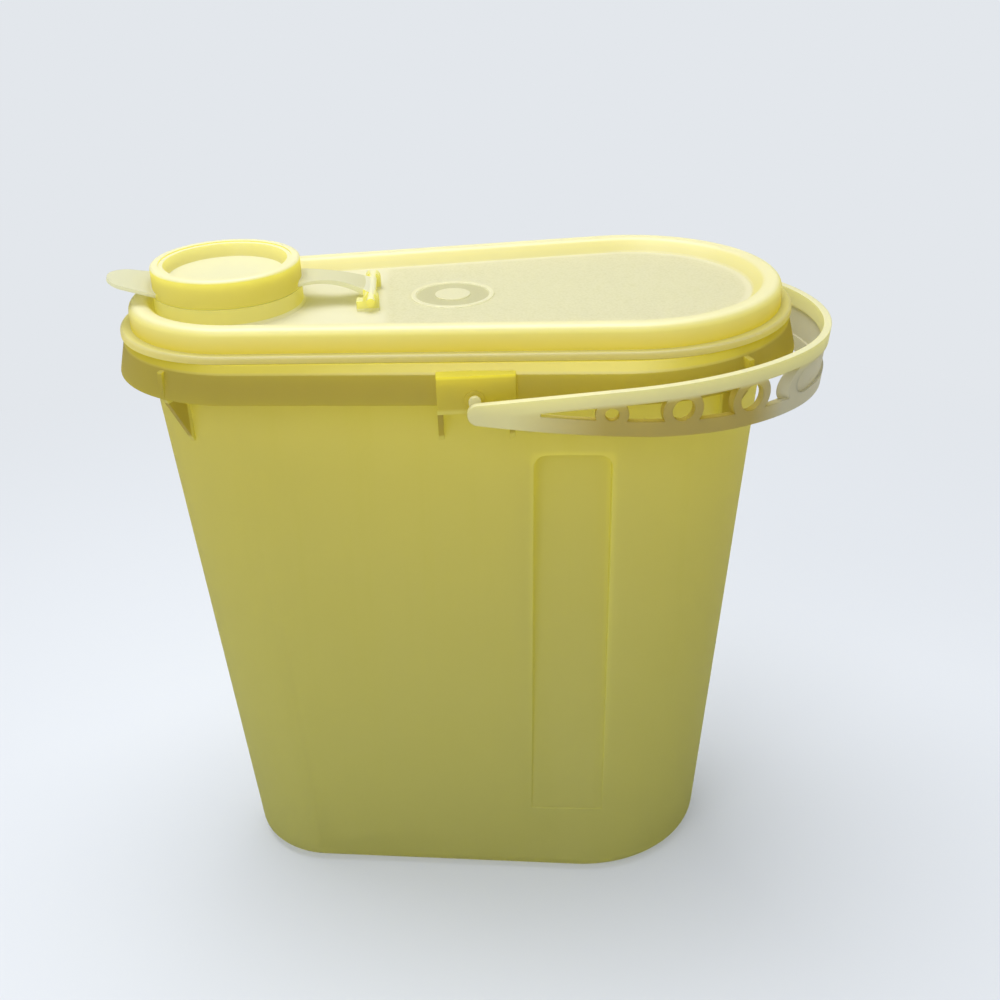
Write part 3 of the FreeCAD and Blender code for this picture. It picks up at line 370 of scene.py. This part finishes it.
# Carry handle
# The bail is a stiffer and whiter moulding, with two rails joined by rings and a thin rear panel. Its two
# pins snap into the pads on the container's sides, and it swings over the top on them.
handle_plastic = polyethylene("moulded_polyethylene_handle", ("#f2f1dc", "#efeed2"), "#f0eb88",
                              share=0.55, roughness=0.32)
handle_tree = handle_plastic.node_tree
handle_spot = add_node(handle_tree, "SeparateXYZ", _0=handle_tree.nodes["place"].outputs["Object"]).outputs

# The rings and the lower rail behind the upper rail are painted a deeper olive, as painted shade. The arm
# has a painted glow near its pin, and the rear panel is thin and nearly grey.
HANDLE_TOP = 207.3 * MM
HANDLE_TOP_X = 90 * MM
HANDLE_TOP_BEND = 0.68
UPPER_RAIL, OLIVE_DEPTH = 4.4 * MM, 6 * MM
ARM_X, OLIVE_FULL_X, ARM_END_X = 14 * MM, 44 * MM, 50 * MM
PANEL_X, PANEL_FULL_X = 92 * MM, 104 * MM
from_top_x = add_node(handle_tree, "Math", {"operation": "SUBTRACT"}, _0=handle_spot[0], _1=HANDLE_TOP_X)
bend = add_node(handle_tree, "Math", {"operation": "MULTIPLY"}, _0=from_top_x.outputs[0],
                _1=from_top_x.outputs[0])
straight = add_node(handle_tree, "Math", {"operation": "MULTIPLY_ADD"}, _0=bend.outputs[0],
                    _1=HANDLE_TOP_BEND, _2=handle_spot[2])
lower = add_node(handle_tree, "MapRange", Value=straight.outputs[0], From_Min=HANDLE_TOP - UPPER_RAIL,
                 From_Max=HANDLE_TOP - OLIVE_DEPTH, To_Max=0.85)
along = add_node(handle_tree, "MapRange", Value=handle_spot[0], From_Min=ARM_X, From_Max=OLIVE_FULL_X)
rail_shade = add_node(handle_tree, "Math", {"operation": "MULTIPLY"}, _0=lower.outputs[0], _1=along.outputs[0])
overlay(handle_plastic, rail_shade.outputs[0], skin="#cab83c", glow="#d8c428")
arm_glow = add_node(handle_tree, "MapRange", Value=handle_spot[0], From_Min=ARM_END_X, From_Max=ARM_X)
overlay(handle_plastic, arm_glow.outputs[0], painted_glow="#2e2a0a")
rear = add_node(handle_tree, "MapRange", Value=handle_spot[0], From_Min=PANEL_X, From_Max=PANEL_FULL_X)
panel = add_node(handle_tree, "Math", {"operation": "MULTIPLY"}, _0=rear.outputs[0], _1=lower.outputs[0])
overlay(handle_plastic, panel.outputs[0], skin="#e4e2d2", glow="#e9e7da")
shell("carry_handle_shell", "carry_handle", "handle", handle_plastic)

# Floor, light and camera
# The container stands on a plain pale floor of matt paint, under wide soft lamps and an even studio sky.
# It is seen from the photograph's place.
FLOOR_SIZE = 40.0
floor_mesh = bpy.data.meshes.new("floor")
floor_grid = bmesh.new()
bmesh.ops.create_grid(floor_grid, x_segments=1, y_segments=1, size=FLOOR_SIZE / 2)
floor_grid.to_mesh(floor_mesh)
floor_grid.free()
floor = bpy.data.objects.new("floor", floor_mesh)
bpy.context.scene.collection.objects.link(floor)
floor_paint = bpy.data.materials.new("pale_floor")
floor_paint.use_nodes = True
floor_paint.cycles.emission_sampling = "NONE"
floor_tree = floor_paint.node_tree
painted = floor_tree.nodes["Principled BSDF"]
painted.inputs["Base Color"].default_value = linear("#c9cdd3")
painted.inputs["Roughness"].default_value = 0.7

# Away from the object's shadow the floor fades to an even pale tone, for the camera and for reflections.
# It is no lamp, because light that scatters about the scene doesn't see it.
BACKGROUND = "#e3e7ec"
FADE_START, FADE_END = 0.12, 0.55
ray = add_node(floor_tree, "LightPath").outputs
clear = add_node(floor_tree, "Math", {"operation": "SUBTRACT", "use_clamp": True},
                 _0=ray["Is Transmission Ray"], _1=ray["Is Diffuse Ray"])
seen = add_node(floor_tree, "Math", {"operation": "MAXIMUM"}, _0=ray["Is Camera Ray"],
                _1=ray["Is Glossy Ray"])
caught = add_node(floor_tree, "Math", {"operation": "MAXIMUM"}, _0=seen.outputs[0], _1=clear.outputs[0])
spread = add_node(floor_tree, "TexCoord").outputs["Object"]
farness = add_node(floor_tree, "VectorMath", {"operation": "LENGTH"}, _0=spread)
fade = add_node(floor_tree, "MapRange", Value=farness.outputs["Value"], From_Min=FADE_START,
                From_Max=FADE_END, To_Min=0.35)
fade_only = add_node(floor_tree, "Math", {"operation": "MULTIPLY"}, _0=caught.outputs[0], _1=fade.outputs[0])
even = add_node(floor_tree, "Emission", Color=linear(BACKGROUND), Strength=1.0)
faded = add_node(floor_tree, "MixShader", _0=fade_only.outputs[0], _1=painted.outputs[0],
                 _2=even.outputs[0])
floor_tree.links.new(faded.outputs[0], floor_tree.nodes["Material Output"].inputs["Surface"])
floor_mesh.materials.append(floor_paint)

world = bpy.data.worlds.new("studio")
bpy.context.scene.world = world
world.use_nodes = True
world_tree = world.node_tree
sky = world_tree.nodes["Background"]
sky.inputs["Color"].default_value = linear("#e4eaf2")
sky.inputs["Strength"].default_value = 0.4
ray = add_node(world_tree, "LightPath").outputs
clear = add_node(world_tree, "Math", {"operation": "SUBTRACT", "use_clamp": True},
                 _0=ray["Is Transmission Ray"], _1=ray["Is Diffuse Ray"])
seen = add_node(world_tree, "Math", {"operation": "MAXIMUM"}, _0=ray["Is Camera Ray"], _1=clear.outputs[0])
backdrop = add_node(world_tree, "Background", Color=linear(BACKGROUND), Strength=1.0)
pale = add_node(world_tree, "MixShader", _0=seen.outputs[0], _1=sky.outputs[0], _2=backdrop.outputs[0])
world_tree.links.new(pale.outputs[0], world_tree.nodes["World Output"].inputs["Surface"])


def soft_lamp(name, place, aim, size, power):
    """Hang a square area lamp that points at a place."""
    lamp = bpy.data.lights.new(name, "AREA")
    lamp.size = size
    lamp.energy = power
    holder = bpy.data.objects.new(name, lamp)
    holder.location = place
    holder.rotation_euler = (Vector(aim) - Vector(place)).to_track_quat("-Z", "Y").to_euler()
    bpy.context.scene.collection.objects.link(holder)


soft_lamp("overhead_lamp", place=(-0.1, 0.15, 1.2), aim=(0, 0, 0.15), size=0.9, power=19)
soft_lamp("window_lamp", place=(-0.5, -0.9, 0.95), aim=(0, 0, 0.2), size=0.6, power=5)

FOCAL_PIXELS = 1431.4
FRAME_PIXELS = 1000
SENSOR_MM = 36
CAMERA_PLACE = (-0.00492, -0.47288, 0.3718)
CAMERA_PITCH, CAMERA_YAW, CAMERA_ROLL = (math.radians(turn) for turn in (26.28, 2.13, -1.77))
camera = bpy.data.cameras.new("photo_camera")
camera.sensor_width = SENSOR_MM
camera.lens = SENSOR_MM * FOCAL_PIXELS / FRAME_PIXELS
camera.clip_start = 0.01
viewer = bpy.data.objects.new("photo_camera", camera)
tilt = Matrix.Rotation(math.pi / 2 - CAMERA_PITCH, 4, "X") @ Matrix.Rotation(CAMERA_ROLL, 4, "Z")
viewer.matrix_world = Matrix.Translation(CAMERA_PLACE) @ Matrix.Rotation(-CAMERA_YAW, 4, "Z") @ tilt
bpy.context.scene.collection.objects.link(viewer)
bpy.context.scene.camera = viewer
bpy.context.scene.view_settings.view_transform = "Standard"
